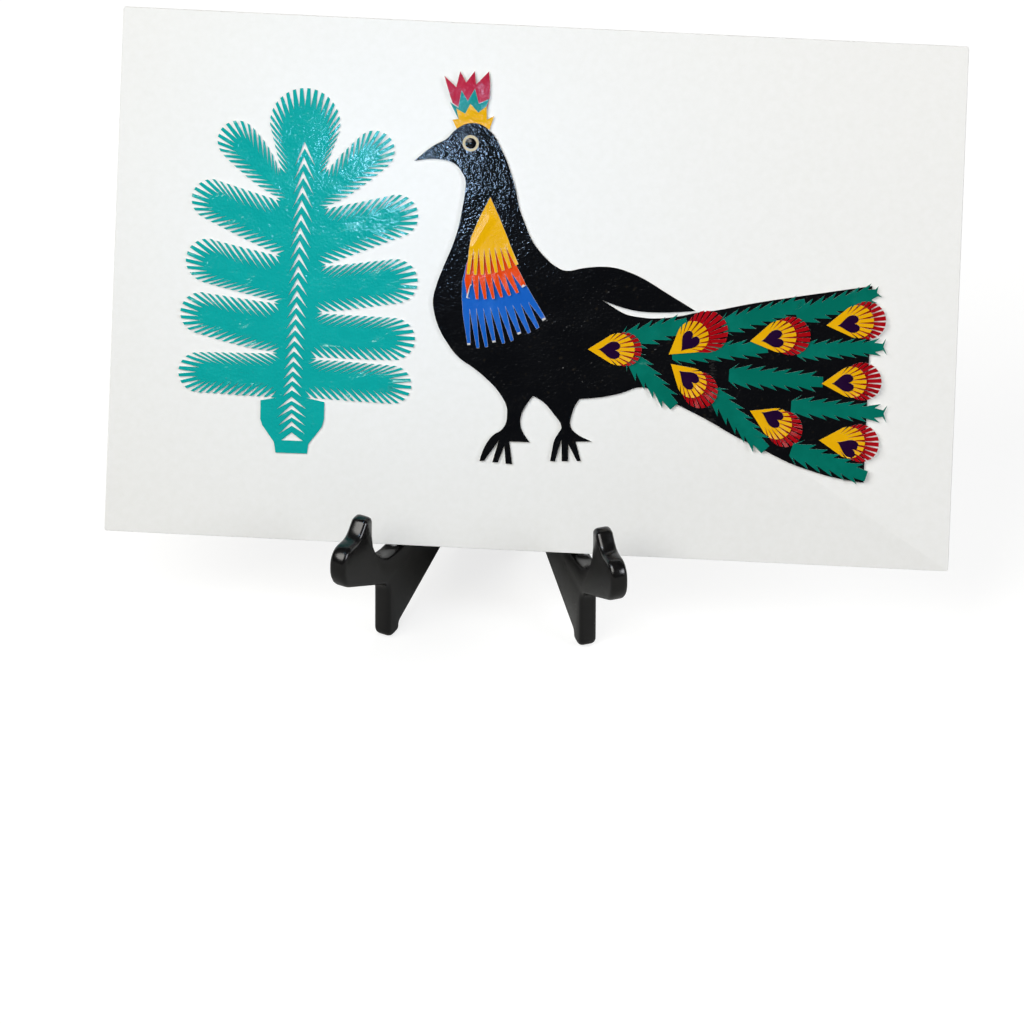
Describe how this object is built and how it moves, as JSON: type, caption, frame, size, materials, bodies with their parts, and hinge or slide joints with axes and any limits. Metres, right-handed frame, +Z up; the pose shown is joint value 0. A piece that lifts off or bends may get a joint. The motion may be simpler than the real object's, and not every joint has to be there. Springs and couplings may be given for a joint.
{
  "type": "paper cut bird picture on a folding easel",
  "caption": "Paper cut peacock of layered glossy papers beside a paper tree, glued on a white card that leans on a folding plastic easel whose two leaves turn on an upright pin.",
  "frame": {"origin": "middle of the whole object in plan, at the height of the surface that the easel's feet stand on", "axes": "+X to the viewer's right along the card's width, +Y away from the viewer, +Z up; the picture faces -Y and leans back"},
  "size_m": [0.297, 0.1208, 0.2032],
  "materials": {
    "white_card": "matt white card with a fine tooth",
    "teal_paper": "glossy coated teal paper",
    "crest_red_paper": "glossy coated rose red paper",
    "crest_teal_paper": "glossy coated teal paper",
    "yellow_paper": "glossy coated yellow paper",
    "black_paper": "glossy coated black paper",
    "cream_paper": "plain cream paper",
    "blue_paper": "glossy coated blue paper",
    "orange_paper": "glossy coated orange paper",
    "green_paper": "glossy coated green paper",
    "red_paper": "glossy coated red paper",
    "purple_paper": "glossy coated dark purple paper",
    "easel_plastic": "glossy moulded black plastic",
    "pin_plastic": "satin black plastic"
  },
  "bodies": {
    "hinge_pin": {"hinge_pin": "pin_plastic"},
    "left_leaf": {"stand_leaf_left": "easel_plastic"},
    "right_leaf": {"stand_leaf_right": "easel_plastic"},
    "picture": {"backing_card": "white_card", "tree": "teal_paper", "crest_red": "crest_red_paper", "crest_teal": "crest_teal_paper", "crest_yellow": "yellow_paper", "bird_silhouette": "black_paper", "eye_disc": "cream_paper", "eye_pupil": "black_paper", "breast_blue": "blue_paper", "breast_orange": "orange_paper", "breast_yellow": "yellow_paper", "frond_1": "green_paper", "frond_2": "green_paper", "frond_3": "green_paper", "frond_4": "green_paper", "frond_5": "green_paper", "frond_6": "green_paper", "frond_7": "green_paper", "frond_8": "green_paper", "frond_9": "green_paper", "frond_10": "green_paper", "fan_red_1": "red_paper", "fan_red_2": "red_paper", "fan_red_3": "red_paper", "fan_red_4": "red_paper", "fan_red_5": "red_paper", "fan_red_6": "red_paper", "fan_red_7": "red_paper", "fan_red_8": "red_paper", "fan_yellow_1": "yellow_paper", "fan_yellow_2": "yellow_paper", "fan_yellow_3": "yellow_paper", "fan_yellow_4": "yellow_paper", "fan_yellow_5": "yellow_paper", "fan_yellow_6": "yellow_paper", "fan_yellow_7": "yellow_paper", "fan_yellow_8": "yellow_paper", "heart_1": "purple_paper", "heart_2": "purple_paper", "heart_3": "purple_paper", "heart_4": "purple_paper", "heart_5": "purple_paper", "heart_6": "purple_paper", "heart_7": "purple_paper", "heart_8": "purple_paper"}
  },
  "joints": [
    {"name": "left_leaf_fold", "type": "hinge", "parent": "hinge_pin", "child": "left_leaf", "pos_m": [-0.0138, 0.04818, 0], "axis": [0, 0, 1], "range_deg": [0, 23.2]},
    {"name": "right_leaf_fold", "type": "hinge", "parent": "hinge_pin", "child": "right_leaf", "pos_m": [-0.0138, 0.04818, 0], "axis": [0, 0, -1], "range_deg": [0, 23.2]},
    {"name": "picture_lift", "type": "slide", "parent": "hinge_pin", "child": "picture", "axis": [0, 0.4384, 0.8988], "range_m": [0, 0.16]}
  ]
}
